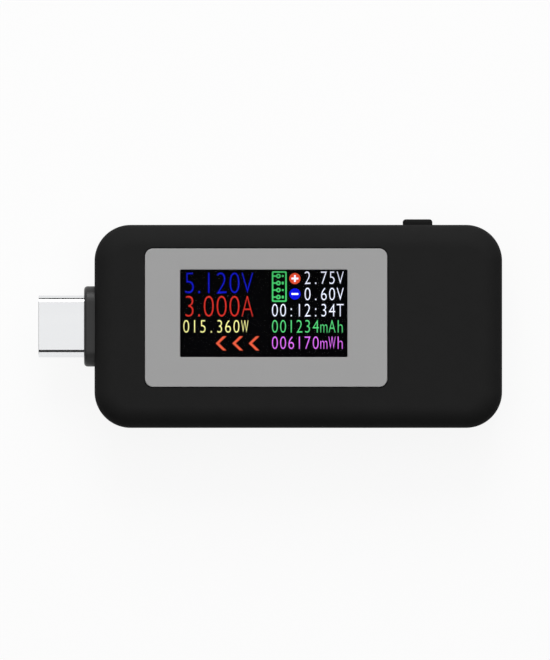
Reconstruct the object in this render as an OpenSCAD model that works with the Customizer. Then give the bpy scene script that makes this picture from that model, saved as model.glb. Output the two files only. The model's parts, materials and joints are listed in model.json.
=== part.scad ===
// USB power meter: a plug-through instrument in a two-piece snap case, with a colour
// display behind a grey panel, one side button, a reversible plug and a matching socket.
// Frame: origin at the centre of the flat back, +X towards the socket, +Y towards the
// button and +Z out of the display. All sizes are in millimetres.

/* [Case] */
// Length of the case without the plug
case_length = 54.2; // [50:0.2:66]
// Width of the case
case_width = 27; // [26:0.5:34]
// Depth of the front cover, from the parting line to the front face
front_depth = 6; // [5:0.2:7.2]
// Depth of the rear cover; the board and the plug's axis lie level with its edge
rear_depth = 6; // [5:0.2:7.2]
// Radius of the four corners seen from the front
corner_radius = 4.8; // [4:0.2:6]
// Radius of the rounded front and back edges
edge_radius = 3; // [2:0.2:3.6]
// Wall of both covers
wall = 1.6; // [1.4:0.1:1.9]
// Height of the rear cover's lip inside the front cover
lip_height = 1; // [0.8:0.1:1.4]
// Thickness of that lip
lip_thickness = 0.7; // [0.5:0.1:0.8]

/* [Display panel] */
// Length of the grey panel
panel_length = 32.2; // [30:0.2:40]
// Width of the grey panel
panel_width = 18.4; // [17:0.2:20]
// Thickness of the grey panel
panel_thickness = 0.8; // [0.6:0.1:1]
// Corner radius of the panel
panel_corner = 1.1; // [0.5:0.1:2]
// Distance from the plug end of the case to the panel
panel_from_plug_end = 6.72; // [5:0.1:9]
// Distance from the button side of the case to the panel
panel_from_button_side = 3.15; // [3:0.05:5]
// Length of the window in the panel
window_length = 22.2; // [20:0.2:24]
// Width of the window in the panel
window_width = 11.6; // [10:0.2:12]

/* [Display module] */
// Length of the area that lights up
active_length = 21.7; // [18:0.1:22]
// Width of the area that lights up
active_width = 10.8; // [9:0.1:11]
// Length of the whole display module
module_length = 27.95; // [25:0.05:29]
// Width of the whole display module
module_width = 13.5; // [12:0.1:14]
// Thickness of each of the two glasses
glass_thickness = 0.4; // [0.3:0.05:0.5]
// Thickness of the backlight
backlight_thickness = 0.8; // [0.6:0.1:1]

/* [Board] */
// Thickness of the main board
board_thickness = 0.8; // [0.6:0.1:1]
// Radius of the rear cover's locating pins
pin_radius = 0.55; // [0.4:0.05:0.7]

/* [Plug] */
// Width of the plug's metal shell
plug_width = 8.25; // [8.2:0.01:8.3]
// Height of the plug's metal shell
plug_height = 2.4; // [2.36:0.01:2.44]
// How far the shell stands out of its collar
plug_reach = 6.1; // [6:0.05:7]
// Sheet thickness of the plug's and the socket's metal
sheet = 0.3; // [0.2:0.05:0.3]
// Width of the collar round the plug
collar_width = 10.7; // [10:0.1:12]
// Height of the collar
collar_height = 7; // [5:0.2:7.4]
// How far the collar stands out of the case
collar_reach = 1.4; // [1:0.1:2]

/* [Socket] */
// Width of the socket's mouth
mouth_width = 8.34; // [8.3:0.01:8.4]
// Height of the socket's mouth
mouth_height = 2.56; // [2.5:0.01:2.6]
// Depth of the socket's metal shell
socket_length = 7.35; // [6.5:0.05:8]
// Thickness of the socket's tongue
tongue_thickness = 0.7; // [0.66:0.01:0.7]

/* [Button] */
// Distance from the socket end of the case to the button's centre
button_from_socket_end = 11.23; // [10:0.1:14]
// Width of the button along the case
button_width = 3.94; // [3:0.1:5]
// Height of the button across the case's thickness
button_height = 2.4; // [2:0.1:2.6]
// How far the button stands out of the case
button_reach = 0.75; // [0.5:0.05:1.2]
// Travel of the button
button_travel = 0.25; // [0.15:0.05:0.35]

/* [Hidden] */
$fn = 48;

// Case, measured from its centre
case_thickness = rear_depth + front_depth;
parting_height = rear_depth;
half_length = case_length / 2;
half_width = case_width / 2;
inner_x = half_length - wall;
inner_y = half_width - wall;
ceiling = case_thickness - wall;
fit_gap = 0.1;
overlap = 0.1;
snap_size = [3, 0.4, 0.4];

// Display panel, its window and the lens behind it
adhesive_thickness = 0.15;
panel_proud = 0.05;
panel_gap = 0.12;
panel_top = case_thickness + panel_proud;
panel_bottom = panel_top - panel_thickness;
recess_floor = panel_bottom - adhesive_thickness;
panel_x = -half_length + panel_from_plug_end + panel_length / 2;
panel_y = half_width - panel_from_button_side - panel_width / 2;
window_right_of_panel_left = 4.69;
window_below_panel_top = 2.83;
window_x = panel_x - panel_length / 2 + window_right_of_panel_left + window_length / 2;
window_y = panel_y + panel_width / 2 - window_below_panel_top - window_width / 2;
window_corner = 0.15;
lens_border = 1;
lens_corner = 0.3;
lens_length = window_length + 2 * lens_border;
lens_width = window_width + 2 * lens_border;

// Display module, stacked downwards from the lens
gasket_gap = 0.15;
film_thickness = 0.1;
polarizer_thickness = 0.15;
display_top = ceiling - gasket_gap;
upper_glass_top = display_top - polarizer_thickness;
lower_glass_top = upper_glass_top - glass_thickness;
rear_film_top = lower_glass_top - glass_thickness;
backlight_top = rear_film_top - film_thickness;
display_bottom = backlight_top - backlight_thickness;
active_from_window_left = 0.1;
active_x = window_x - window_length / 2 + active_from_window_left + active_length / 2;
active_y = window_y + window_width / 2 - active_width / 2;
glass_border = 1.35;
glass_inset = 0.2;
module_x = active_x - active_length / 2 - glass_border + module_length / 2;
module_left = module_x - module_length / 2;
module_right = module_x + module_length / 2;
upper_glass_right = active_x + active_length / 2 + glass_border;
fence_wall = 0.7;
guide_left = module_left + 0.65;
guide_right = module_right - 2.6;
guide_width = module_width - 1.4;

// Main board
board_top = parting_height + board_thickness / 2;
board_bottom = parting_height - board_thickness / 2;
board_end = inner_x - 1;
board_half_width = inner_y - 0.5;
post_radius = 1.2;
post_x = inner_x - 5;
post_y = inner_y - 1.7;
pin_height = 0.9;

// Flexible cable of the display, folded under it
flex_width = 9;
flex_thickness = 0.12;
flex_drop = lower_glass_top - board_top;
flex_bend_x = module_right + 0.15;

// Plug, measured from its tip towards the case
collar_face = -half_length - collar_reach;
plug_tip = collar_face - plug_reach;
plug_gap = 0.02;
collar_corner = 2.2;
flange_thickness = 0.8;
end_flat = 2 * (min(parting_height, case_thickness - parting_height) - edge_radius);
flange_height = min(collar_height, end_flat + 0.3);
flange_corner = min(collar_corner, flange_height / 2 - 0.1);
flange_start = -inner_x + 0.05;
plug_back = flange_start + flange_thickness - 0.3;
ear_length = 2.3;
ear_thickness = 0.26;
ear_y = plug_width / 2 - 0.225;
ear_height = 0.9;
contact_pitch = 0.5;
contact_count = 12;
contact_width = 0.25;
contact_metal = 0.12;
tail_bottom = board_thickness / 2 + 0.02;
tail_length = 1.4;
slot_half = 0.5;
slot_depth = 5.8;
insulator_front = plug_tip + 0.7;
insulator_half_width = 3.75;
insulator_half_height = 0.87;
slot_half_width = 3.45;
contact_slot = 0.34;
latch_y = 3.6;
latch_slot = [8.4, 0.4, 0.8];

// Socket, measured from its mouth
socket_face = half_length - 0.1;
socket_back = socket_face - socket_length;
socket_width = mouth_width + 2 * sheet;
socket_height = mouth_height + 2 * (sheet + 0.05);
tongue_tip = socket_face - 1;
tongue_width = 6.69;
insert_depth = 0.1;
insert_slot = 0.28;
mid_plate_thickness = 0.15;
leg_width = 1.1;
leg_x = [socket_back + 1.1, socket_back + 3.4];
leg_y = socket_width / 2 + 0.9;

// Side-pushed switch behind the button
button_x = half_length - button_from_socket_end;
switch_length = 4.6;
switch_depth = 2.1;
switch_height = 1.8;
switch_front = inner_y - 1.7;
switch_axis = board_top + switch_height / 2;
switch_plate = 0.12;
pocket_depth = 1.6;
pocket_half = [1.6, 0.65];
window_half = [0.85, 0.5];
stem_half = [0.75, 0.4];
stem_depth = 0.79;
flange_half = button_width / 2 + 0.8;
flange_top = case_thickness - edge_radius + 0.05;
flange_face = inner_y - 0.15;
button_flange = 0.6;
plunger_tip = flange_face - button_flange - 0.02;
dome_chord = 3;
dome_rise = 0.35;
dome_metal = 0.08;

// Colours
case_black = "#262626";
panel_grey = "#9c9c9c";
steel = "#d8dadc";
gold = "#d9b35a";
tin = "#c9ccd0";
package_black = "#1d1d1f";

// ---------------------------------------------------------------- outlines

// A rectangle with round corners
module rounded_rect(size, r) {
    square([size.x - 2 * r, size.y], center = true);
    square([size.x, size.y - 2 * r], center = true);
    for (x = [-1, 1], y = [-1, 1])
        translate([x * (size.x / 2 - r), y * (size.y / 2 - r)]) circle(r);
}

// A slot outline with fully round ends
module oblong(size) {
    square([size.x - size.y, size.y], center = true);
    for (side = [-1, 1])
        translate([side * (size.x - size.y) / 2, 0]) circle(size.y / 2);
}

// Extrudes an outline along X at the plug's axis: its x runs along Y and its y along Z
module along_x(from, to) {
    translate([from, 0, parting_height])
        rotate([90, 0, 90]) linear_extrude(to - from) children();
}

// Extrudes an outline drawn in the XZ plane, centred at a given Y
module across_y(width) {
    rotate([90, 0, 0]) linear_extrude(width, center = true) children();
}

// A flat-backed box from its lowest corner to its highest
module block(low, high) {
    translate(low) cube(high - low);
}

// A plate with round corners, centred in plan and standing on a height
module plate(size, r, centre, bottom) {
    translate([centre.x, centre.y, bottom])
        linear_extrude(size.z) rounded_rect([size.x, size.y], r);
}

// The case's own form: round corners in plan and round front and back edges
module soft_box(size, corner, edge) {
    run_x = size.x - 2 * corner;
    run_y = size.y - 2 * corner;
    translate([0, 0, size.z / 2]) {
        rotate([90, 0, 90])
            linear_extrude(run_x, center = true) rounded_rect([size.y, size.z], edge);
        for (turn = [0, 180])
            rotate(turn) across_y(run_y) intersection() {
                rounded_rect([size.x, size.z], edge);
                translate([run_x / 2, -size.z / 2]) square([corner, size.z]);
            }
        for (quarter = [0:3])
            translate([(quarter == 0 || quarter == 3 ? 1 : -1) * run_x / 2,
                       (quarter < 2 ? 1 : -1) * run_y / 2, 0])
                rotate(quarter * 90) rotate_extrude(angle = 90) intersection() {
                    rounded_rect([2 * corner, size.z], edge);
                    translate([0, -size.z / 2]) square([corner, size.z]);
                }
    }
}

// ---------------------------------------------------------------- case

module case_outside() {
    soft_box([case_length, case_width, case_thickness], corner_radius, edge_radius);
}

module case_inside() {
    translate([0, 0, wall])
        soft_box([2 * inner_x, 2 * inner_y, case_thickness - 2 * wall],
                 corner_radius - wall, edge_radius - wall);
}

// The case's plan outline, taken in by a margin
module case_plan(margin) {
    rounded_rect([case_length - 2 * margin, case_width - 2 * margin],
                 corner_radius - margin);
}

// The openings that the collar, the socket and the button need in both covers
module end_openings() {
    along_x(-half_length - 1, -inner_x + 1)
        rounded_rect([collar_width + fit_gap, collar_height + fit_gap], collar_corner);
    along_x(inner_x - 1, half_length + 1)
        oblong([socket_width + 2 * fit_gap, socket_height + 2 * fit_gap]);
}

module button_opening() {
    block([button_x - button_width / 2 - fit_gap, inner_y - 1, parting_height - 0.01],
          [button_x + button_width / 2 + fit_gap, half_width + 1,
           switch_axis + button_height / 2 + fit_gap]);
}

// Where the covers snap together: one place near each end of both long sides
module at_snaps() {
    for (x = [-0.5, 0.15], side = [-1, 1])
        translate([x * inner_x, side * (half_width - wall + lip_thickness),
                   parting_height + lip_height / 2]) children();
}

module at_posts() {
    for (x = [-1, 1], y = [-1, 1]) translate([x * post_x, y * post_y, 0]) children();
}

// Rib round the display that keeps it in place, open where its cable folds under
module display_fence() {
    bottom = display_bottom + 0.3;
    height = ceiling + overlap - bottom;
    clear = [module_length + 2 * fit_gap, module_width + 2 * fit_gap];
    translate([module_x, active_y, bottom]) difference() {
        linear_extrude(height) square(clear + [2 * fence_wall, 2 * fence_wall], center = true);
        translate([0, 0, -1]) linear_extrude(height + 2) square(clear, center = true);
        block([0, -flex_width / 2 - 0.6, -1],
              [module_length, flex_width / 2 + 0.6, height + 2]);
    }
}

module front_cover() color(case_black) difference() {
    union() {
        difference() {
            intersection() {
                case_outside();
                block([-half_length - 1, -half_width - 1, parting_height],
                      [half_length + 1, half_width + 1, case_thickness + 1]);
            }
            case_inside();
            translate([0, 0, parting_height - 1])
                linear_extrude(lip_height + fit_gap + 1)
                    case_plan(wall - lip_thickness - fit_gap);
            at_snaps() cube(snap_size + [4, 3, 2] * fit_gap, center = true);
        }
        display_fence();
        at_posts() translate([0, 0, board_top])
            cylinder(r = post_radius, h = ceiling - board_top + overlap);
    }
    plate([panel_length + 2 * panel_gap, panel_width + 2 * panel_gap, 2],
          panel_corner + panel_gap, [panel_x, panel_y], recess_floor);
    plate([lens_length + 2 * fit_gap, lens_width + 2 * fit_gap, 2],
          lens_corner + fit_gap, [window_x, window_y], ceiling - 0.5);
    at_posts() translate([0, 0, board_top - 1])
        cylinder(r = pin_radius + 0.05, h = 1 + pin_height + fit_gap);
    end_openings();
    button_opening();
}

module rear_cover() color(case_black) {
    difference() {
        union() {
            intersection() {
                case_outside();
                block([-half_length - 1, -half_width - 1, -1],
                      [half_length + 1, half_width + 1, parting_height]);
            }
            translate([0, 0, parting_height - overlap])
                linear_extrude(lip_height + overlap) case_plan(wall - lip_thickness);
            at_snaps() cube(snap_size, center = true);
        }
        case_inside();
        end_openings();
        block([button_x - flange_half - 0.3, inner_y - 1, parting_height],
              [button_x + flange_half + 0.3, half_width + 1, parting_height + 3]);
    }
    at_posts() translate([0, 0, wall - overlap]) {
        cylinder(r = post_radius, h = board_bottom - wall + overlap);
        cylinder(r = pin_radius, h = board_bottom - wall + board_thickness + pin_height);
    }
}

module plug_collar() color("#333333") difference() {
    union() {
        along_x(collar_face, flange_start + overlap)
            rounded_rect([collar_width, collar_height], collar_corner);
        along_x(flange_start, flange_start + flange_thickness)
            rounded_rect([collar_width + 1.6, flange_height], flange_corner);
    }
    along_x(collar_face - 1, flange_start + flange_thickness + 1)
        oblong([plug_width + 2 * plug_gap, plug_height + 2 * plug_gap]);
}

// ---------------------------------------------------------------- display

module display_panel() color(panel_grey) difference() {
    plate([panel_length, panel_width, panel_thickness], panel_corner,
          [panel_x, panel_y], panel_bottom);
    plate([window_length, window_width, panel_thickness + 2], window_corner,
          [window_x, window_y], panel_bottom - 1);
}

module panel_adhesive() color("#e8e4da") difference() {
    plate([panel_length - 0.6, panel_width - 0.6, adhesive_thickness], panel_corner - 0.3,
          [panel_x, panel_y], recess_floor);
    plate([window_length + 0.8, window_width + 0.8, adhesive_thickness + 2], window_corner,
          [window_x, window_y], recess_floor - 1);
}

module window_lens() color("#e6f0f4", 0.35)
    plate([lens_length, lens_width, recess_floor - ceiling], lens_corner,
          [window_x, window_y], ceiling);

module display_polarizer() color("#0b0c10")
    plate([active_length + 1, active_width + 1.4, polarizer_thickness], 0.2,
          [active_x, active_y], upper_glass_top);

module display_upper_glass() color("#20242a", 0.6) {
    left = module_left + glass_inset;
    block([left, active_y - module_width / 2 + glass_inset, lower_glass_top],
          [upper_glass_right, active_y + module_width / 2 - glass_inset, upper_glass_top]);
}

module display_lower_glass() color("#2a3036", 0.6)
    plate([module_length - 2 * glass_inset, module_width - 2 * glass_inset, glass_thickness],
          0.2, [module_x, active_y], rear_film_top);

module display_driver_chip() color(package_black) {
    chip_depth = 0.9;
    chip_length = 9;
    chip_x = upper_glass_right + 0.5;
    block([chip_x, active_y - chip_length / 2, lower_glass_top],
          [chip_x + chip_depth, active_y + chip_length / 2, lower_glass_top + 0.3]);
}

module display_rear_film() color("#3a3f46")
    plate([active_length + 1.6, active_width + 1.6, film_thickness], 0.2,
          [active_x, active_y], backlight_top);

module backlight_frame() color("#f4f4f0") difference() {
    plate([module_length, module_width, backlight_thickness], 0.3,
          [module_x, active_y], display_bottom);
    translate([module_x, active_y, display_bottom - 1])
        linear_extrude(backlight_thickness + 2)
            square([module_length - 1.2, module_width - 1.2], center = true);
}

module backlight_guide() color("#eef6fa", 0.5)
    block([guide_left, active_y - guide_width / 2, display_bottom + 0.1],
          [guide_right, active_y + guide_width / 2, backlight_top - 0.1]);

module backlight_reflector() color("#fafafa")
    block([guide_left, active_y - guide_width / 2, display_bottom],
          [guide_right, active_y + guide_width / 2, display_bottom + 0.08]);

module backlight_leds() color("#f7e9a0")
    for (y = [-1:1])
        translate([guide_right + 0.1, active_y + y * 3.8, display_bottom + 0.15])
            translate([0, -1, 0]) cube([0.6, 2, 0.5]);

module display_flex() color("#c8822a") {
    outer = flex_drop / 2 + flex_thickness / 2;
    translate([0, active_y, 0]) across_y(flex_width) {
        translate([upper_glass_right + 1.9, lower_glass_top])
            square([flex_bend_x - upper_glass_right - 1.9, flex_thickness]);
        translate([flex_bend_x, board_top + flex_drop / 2 + flex_thickness / 2])
            intersection() {
                difference() {
                    circle(outer);
                    circle(outer - flex_thickness);
                }
                translate([0, -outer]) square([outer, 2 * outer]);
            }
        translate([flex_bend_x - 3, board_top]) square([3, flex_thickness]);
    }
}

module display_foam() color("#3c3c3c")
    for (side = [-1, 1])
        translate([module_x, active_y + side * (module_width / 2 - 1), board_top])
            translate([-module_length / 2 + 0.8, -0.8, 0])
                cube([module_length - 1.6, 1.6, display_bottom - board_top]);

// ---------------------------------------------------------------- board

module main_board() color("#1f6b3a") difference() {
    plate([2 * board_end, 2 * board_half_width, board_thickness],
          corner_radius - wall - 0.4, [0, 0], board_bottom);
    at_posts() translate([0, 0, board_bottom - 1])
        cylinder(r = pin_radius + 0.1, h = board_thickness + 2);
    block([socket_back - 0.1, -socket_width / 2 - 0.3, 0],
          [board_end + 1, socket_width / 2 + 0.3, case_thickness]);
    for (side = [-1, 1]) {
        translate([-board_end - 1, side * ear_y - ear_thickness / 2 - fit_gap, 0])
            cube([ear_length + 0.85, ear_thickness + 2 * fit_gap, case_thickness]);
        for (x = leg_x)
            translate([x, side * leg_y, 0]) linear_extrude(case_thickness) oblong([1.5, 0.6]);
    }
}

// Places a part on the front or on the back of the board
module on_front(at) translate([at.x, at.y, board_top]) children();
module on_back(at) translate([at.x, at.y, board_bottom]) mirror([0, 0, 1]) children();

// A moulded chip package with a bevelled top and a mark at its first lead
module package(size, stand_off) {
    bevel = 0.2;
    mark_inset = 0.7;
    mark_radius = 0.25;
    mark_depth = 0.08;
    translate([0, 0, stand_off]) difference() {
        union() {
            linear_extrude(size.z - bevel) square([size.x, size.y], center = true);
            translate([0, 0, size.z - bevel]) linear_extrude(bevel)
                square([size.x - 2 * bevel, size.y - 2 * bevel], center = true);
        }
        translate([-size.x / 2 + mark_inset, -size.y / 2 + mark_inset, size.z - mark_depth])
            cylinder(r = mark_radius, h = 1);
    }
}

// One row of bent leads on the +Y side of a package
module lead_row(count, pitch, width, half_depth, reach, height) {
    metal = 0.15;
    for (i = [0:count - 1])
        translate([(i - (count - 1) / 2) * pitch, 0, 0])
            rotate([90, 0, 90]) linear_extrude(width, center = true) polygon([
                [half_depth, height], [half_depth, height - metal],
                [half_depth + 0.35 * reach, height - metal],
                [half_depth + 0.45 * reach, 0], [half_depth + reach, 0],
                [half_depth + reach, metal], [half_depth + 0.45 * reach + metal, metal],
                [half_depth + 0.35 * reach + metal, height]
            ]);
}

mcu_at = [module_x - 4.5, active_y];
memory_at = [module_x + 5, active_y];
amplifier_at = [-8.5, -5.5];
regulator_at = [0, 5.5];
shunt_at = [-14, 3];
diode_at = [9.5, -4.5];
mcu_size = [7, 7, 0.8];
memory_size = [4.9, 3.9, 0.8];
lead_exit = 0.45;
amplifier_size = [2.9, 1.6, 1.1];
amplifier_pitch = 0.95;
regulator_size = [4.5, 2.5, 1.5];
regulator_pitch = 1.5;
regulator_lead = [0.44, 1.6, 0.2];
regulator_tab = [1.7, 2.35, 0.2];
diode_size = [4.3, 2.6, 2.1];
diode_pad = [1.2, 1.4, 0.15];
shunt_size = [5, 3.2, 0.9];
shunt_foot = 1.3;
shunt_clearance = 0.3;

module microcontroller() color(package_black) on_front(mcu_at) package(mcu_size, 0.08);
module memory_chip() color(package_black) on_front(memory_at) package(memory_size, 0.08);
module amplifier_chip() color(package_black) on_back(amplifier_at) package(amplifier_size, 0.05);
module voltage_regulator() color(package_black) on_back(regulator_at)
    package(regulator_size, 0.2);

module chip_leads() color(tin) {
    on_front(mcu_at) for (turn = [0:90:270])
        rotate(turn) lead_row(8, 0.8, 0.35, mcu_size.y / 2, 0.95, lead_exit);
    on_front(memory_at) for (turn = [0, 180])
        rotate(turn) lead_row(4, 1.27, 0.42, memory_size.y / 2, 1, lead_exit);
    on_back(amplifier_at) {
        lead_row(2, 2 * amplifier_pitch, 0.4, amplifier_size.y / 2, 0.6, 0.6);
        rotate(180) lead_row(3, amplifier_pitch, 0.4, amplifier_size.y / 2, 0.6, 0.6);
    }
    on_back(regulator_at) {
        for (i = [-1:1])
            translate([i * regulator_pitch - regulator_lead.x / 2, -2.05, 0])
                cube(regulator_lead);
        translate([-regulator_tab.x / 2, -0.4, 0]) cube(regulator_tab);
    }
    on_back(diode_at) for (side = [-1, 1])
        translate([side * 1.95 - diode_pad.x / 2, -diode_pad.y / 2, 0]) cube(diode_pad);
}

// Metal strip resistor that the current flows through: a raised bridge on two feet
module shunt_resistor() color("#8f8a86") on_back(shunt_at) {
    for (side = [-1, 1])
        translate([side * shunt_size.x / 2 - shunt_foot / 2, -shunt_size.y / 2, 0])
            cube([shunt_foot, shunt_size.y, shunt_size.z]);
    translate([-shunt_size.x / 2, -shunt_size.y / 2, shunt_clearance])
        cube([shunt_size.x, shunt_size.y, shunt_size.z - shunt_clearance]);
}

module surge_diode() color(package_black) on_back(diode_at) package(diode_size, diode_pad.z);

// Chip capacitors and resistors: [x, y, whether it stands along Y]
capacitor_size = [2, 1.25, 1];
resistor_size = [1.6, 0.8, 0.45];
capacitors = [
    [-4.5, 6, 0], [4.8, 6, 0], [-14, -4.5, 1], [15.2, 2.5, 1], [15.2, -2.5, 1], [3, -5.5, 0]
];
resistors = [
    [-8, 2, 0], [-8, 0.2, 0], [-4.6, -2.4, 1], [-2.6, -2.4, 1],
    [6, 1, 0], [6, 2.8, 0], [11.5, 4.5, 1], [13, -7, 1]
];
cap_metal = 0.04;

module at_chips(list) for (c = list) on_back(c) rotate(c.z * 90) children();

// One end cap that wraps round the end of a chip part
module end_cap(size) {
    band = 0.2 * size.x;
    difference() {
        translate([size.x / 2 - band, -size.y / 2, 0]) cube([band, size.y, size.z]);
        translate([0, -size.y / 2 + cap_metal, cap_metal])
            cube([size.x / 2 - cap_metal, size.y - 2 * cap_metal, size.z - 2 * cap_metal]);
    }
}

// The ceramic body, reduced where its end caps wrap round it
module chip_body(size) {
    inner = size - 2 * [cap_metal, cap_metal, cap_metal];
    translate([-inner.x / 2, -inner.y / 2, cap_metal]) cube(inner);
    translate([-0.3 * size.x, -size.y / 2, 0]) cube([0.6 * size.x, size.y, size.z]);
}

module chip_capacitors() color("#a98a63") at_chips(capacitors) chip_body(capacitor_size);
module chip_resistors() color(package_black) at_chips(resistors) chip_body(resistor_size);
module chip_end_caps() color(tin) {
    for (turn = [0, 180]) {
        at_chips(capacitors) rotate(turn) end_cap(capacitor_size);
        at_chips(resistors) rotate(turn) end_cap(resistor_size);
    }
}

// ---------------------------------------------------------------- plug

// Places one contact of each of the two facing rows
module at_contacts() {
    for (flip = [0, 1], i = [0:contact_count - 1])
        translate([0, (i - (contact_count - 1) / 2) * contact_pitch, parting_height])
            mirror([0, 0, flip]) children();
}

module plug_shell() color(steel) {
    along_x(plug_tip, plug_back) difference() {
        oblong([plug_width, plug_height]);
        oblong([plug_width - 2 * sheet, plug_height - 2 * sheet]);
    }
    for (side = [-1, 1])
        translate([plug_back - 0.25, side * ear_y - ear_thickness / 2,
                   parting_height - ear_height / 2])
            cube([-board_end - plug_back + ear_length, ear_thickness, ear_height]);
}

module plug_insulator() color("#19191b") {
    relief_end = plug_tip + 2;
    slot = contact_slot / 2;
    contact_ceiling = 0.82;
    difference() {
        along_x(insulator_front, -board_end - 0.05)
            oblong([2 * insulator_half_width, 2 * insulator_half_height]);
        block([insulator_front - 1, -slot_half_width, parting_height - slot_half],
              [plug_tip + slot_depth, slot_half_width, parting_height + slot_half]);
        for (side = [-1, 1]) {
            translate([insulator_front - 1, side * latch_y - latch_slot.y / 2,
                       parting_height - latch_slot.z / 2]) cube(latch_slot);
            translate([insulator_front - 1, -4, parting_height + side * 1.24 - 0.5])
                cube([relief_end - insulator_front + 1, 8, 1]);
        }
        at_contacts() {
            block([plug_tip + 1.2, -slot, slot_half - 0.02],
                  [-board_end + 1, slot, contact_ceiling]);
            block([plug_tip + slot_depth - 0.1, -slot, min(slot_half, tail_bottom) - 0.04],
                  [-board_end + 1, slot, contact_ceiling]);
        }
    }
}

// A spring contact: a bump at the mouth, a straight beam and a tail on the board
module plug_contacts() color(gold) {
    start = plug_tip + 1.3;
    bump = plug_tip + 1.8;
    beam = slot_half + 0.05;
    tail = -board_end + tail_length;
    at_contacts() across_y(contact_width) polygon([
        [start, 0.46], [bump - 0.1, 0.3], [bump + 0.1, 0.3], [bump + 0.8, beam],
        [-board_end - 0.3, beam], [-board_end - 0.1, tail_bottom], [tail, tail_bottom],
        [tail, tail_bottom + contact_metal], [-board_end - 0.05, tail_bottom + contact_metal],
        [-board_end - 0.25, beam + contact_metal], [bump + 0.75, beam + contact_metal],
        [bump + 0.05, 0.3 + contact_metal], [bump - 0.05, 0.3 + contact_metal],
        [start, 0.46 + contact_metal]
    ]);
}

// Side springs whose hooks hold the mating tongue
module plug_latches() color(steel)
    for (flip = [0, 1])
        mirror([0, flip, 0]) translate([plug_tip, 0, parting_height - 0.35])
            linear_extrude(0.7) polygon([
                [1.4, 3.5], [1.8, 3.2], [2, 3.2], [2.6, 3.5], [7.9, 3.5], [7.9, 3.68], [1.4, 3.68]
            ]);

// Ground springs inside the mouth, each a plate with three bent fingers
module plug_ground_springs() color(steel)
    for (flip = [0, 1])
        translate([plug_tip, 0, parting_height]) mirror([0, 0, flip]) {
            block([0.3, -2.7, 0.77], [1.9, 2.7, 0.86]);
            for (y = [-2, 0, 2]) block([0.3, y - 0.35, 0.55], [0.55, y + 0.35, 0.8]);
        }

// ---------------------------------------------------------------- socket

module socket_shell() color(steel) {
    along_x(socket_back, socket_face) difference() {
        oblong([socket_width, socket_height]);
        oblong([mouth_width, mouth_height]);
    }
    for (side = [0, 1], x = leg_x)
        mirror([0, side, 0]) translate([x - leg_width / 2, 0, board_top]) {
            block([0, socket_width / 2 - 0.32, 0], [leg_width, leg_y + 0.15, sheet]);
            block([0, leg_y - 0.15, -board_thickness - 0.4], [leg_width, leg_y + 0.15, sheet]);
        }
}

module socket_insulator() color("#19191b") {
    back_wall = 1.9;
    base_end = socket_back + 3.2;
    base_size = [7.4, 1.3];
    slot = insert_slot / 2;
    slot_floor = tongue_thickness / 2 - insert_depth - 0.005;
    difference() {
        union() {
            along_x(socket_back, socket_back + back_wall)
                oblong([mouth_width - 2 * plug_gap, mouth_height - 2 * plug_gap]);
            along_x(socket_back + 1, base_end) square(base_size, center = true);
            along_x(socket_back + 1, tongue_tip)
                square([tongue_width, tongue_thickness], center = true);
        }
        mid_plate_shape();
        at_contacts() {
            block([socket_back - 1, -slot, slot_floor],
                  [tongue_tip - 0.45, slot, tongue_thickness / 2 + 0.03]);
            block([socket_back - 1, -slot, slot_floor],
                  [socket_back + 0.45, slot, tail_bottom + contact_metal + 0.02]);
        }
    }
}

// The steel plate moulded into the tongue, which shows along both of its sides
module mid_plate_shape() {
    half_plate = mid_plate_thickness / 2;
    block([socket_back + 0.6, -tongue_width / 2 - 0.05, parting_height - half_plate],
          [tongue_tip - 0.2, tongue_width / 2 + 0.05, parting_height + half_plate]);
}

module socket_mid_plate() color(steel) mid_plate_shape();

module socket_contacts() color(gold) {
    low = tongue_thickness / 2 - insert_depth;
    high = low + contact_metal;
    at_contacts() across_y(contact_width) polygon([
        [tongue_tip - 0.5, low], [tongue_tip - 0.5, high], [socket_back + 0.3, high],
        [socket_back, tail_bottom + contact_metal],
        [socket_back - tail_length, tail_bottom + contact_metal],
        [socket_back - tail_length, tail_bottom], [socket_back + 0.02, tail_bottom],
        [socket_back + 0.35, low]
    ]);
}

// ---------------------------------------------------------------- switch and button

// Places a part of the switch: its x along the case, y towards the button, z on its axis
module at_switch() translate([button_x, switch_front, switch_axis]) children();

module switch_base() color("#2b2b2d") at_switch() difference() {
    block([-switch_length / 2, -switch_depth, -switch_height / 2],
          [switch_length / 2, 0, switch_height / 2]);
    block([-pocket_half.x, -pocket_depth, -pocket_half.y], [pocket_half.x, 1, pocket_half.y]);
}

module switch_cover() color(steel) at_switch() {
    difference() {
        block([-switch_length / 2 - switch_plate, 0, -switch_height / 2 + 0.15],
              [switch_length / 2 + switch_plate, switch_plate, switch_height / 2]);
        block([-window_half.x, -1, -window_half.y], [window_half.x, 1, window_half.y]);
    }
    for (side = [0, 1])
        mirror([side, 0, 0])
            block([switch_length / 2, -1.4, -0.4],
                  [switch_length / 2 + switch_plate, switch_plate, 0.5]);
}

module switch_plunger() color("#e9e4d6") at_switch() {
    block([-1.3, -0.55, -0.55], [1.3, -0.05, 0.55]);
    block([-stem_half.x, -0.1, -stem_half.y],
          [stem_half.x, plunger_tip - switch_front, stem_half.y]);
    rotate([90, 0, 0]) cylinder(r = 0.35, h = stem_depth);
}

// Snap disc under the plunger: an arched spring strip
module switch_dome() color(gold) at_switch() {
    arc = (dome_chord * dome_chord / 4 + dome_rise * dome_rise) / (2 * dome_rise);
    translate([0, -pocket_depth + 0.01 + dome_rise - arc, -0.5]) linear_extrude(1)
        intersection() {
            difference() {
                circle(arc + dome_metal);
                circle(arc);
            }
            translate([-dome_chord / 2, arc - dome_rise])
                square([dome_chord, 2 * dome_rise]);
        }
}

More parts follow.
